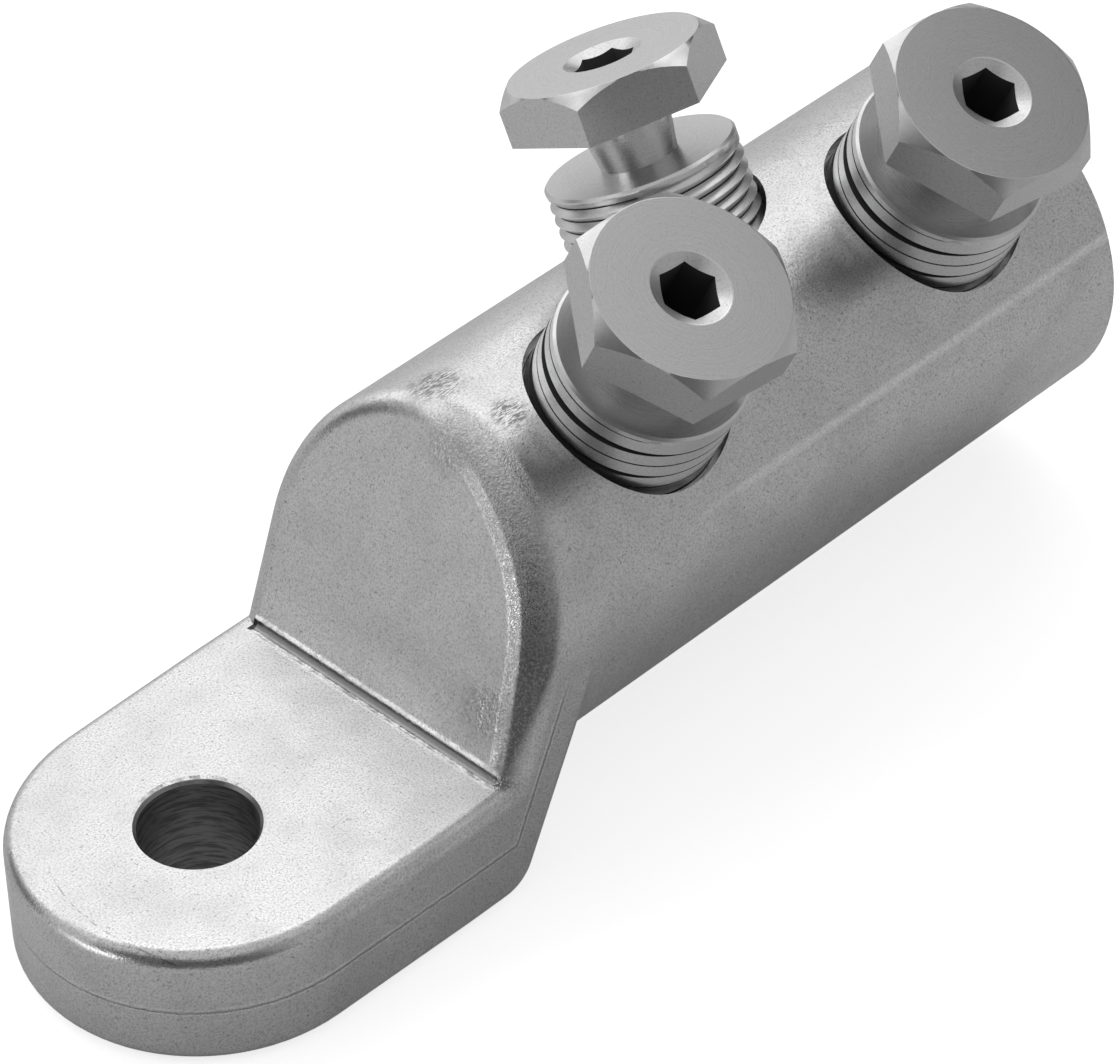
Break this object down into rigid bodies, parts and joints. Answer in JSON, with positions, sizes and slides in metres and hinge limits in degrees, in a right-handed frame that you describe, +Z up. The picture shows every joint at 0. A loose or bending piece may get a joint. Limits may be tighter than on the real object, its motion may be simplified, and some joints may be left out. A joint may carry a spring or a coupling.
{
  "type": "screw cable lug",
  "caption": "Screw cable lug: a flat palm with a stud hole, and a barrel whose slanted clamping bolts grip the cable until their hex heads shear off.",
  "frame": {"origin": "on the stud hole's axis, at the palm's underside", "axes": "+Z up along the stud hole, out of the palm's top; +X along the barrel, out of its mouth; the bolts lean to -Y, +Y and -Y in turn"},
  "size_m": [0.1429, 0.0561, 0.0674],
  "materials": {
    "tinned_casting": "tin plated aluminium casting, satin, finely mottled",
    "turned_metal": "turned and tin plated, fine concentric tool marks"
  },
  "bodies": {
    "lug": {"lug_body": "tinned_casting"},
    "front_bolt": {"clamp_bolt_front": "turned_metal"},
    "middle_bolt": {"clamp_bolt_middle": "turned_metal"},
    "rear_bolt": {"clamp_bolt_rear": "turned_metal"}
  },
  "joints": [
    {"name": "front_bolt_drive", "type": "slide", "parent": "lug", "child": "front_bolt", "axis": [0, 0.4384, -0.8988], "range_m": [-0.002, 0.01]},
    {"name": "middle_bolt_drive", "type": "slide", "parent": "lug", "child": "middle_bolt", "axis": [0, -0.4384, -0.8988], "range_m": [-0.002, 0.01]},
    {"name": "rear_bolt_drive", "type": "slide", "parent": "lug", "child": "rear_bolt", "axis": [0, 0.4384, -0.8988], "range_m": [-0.002, 0.01]}
  ]
}
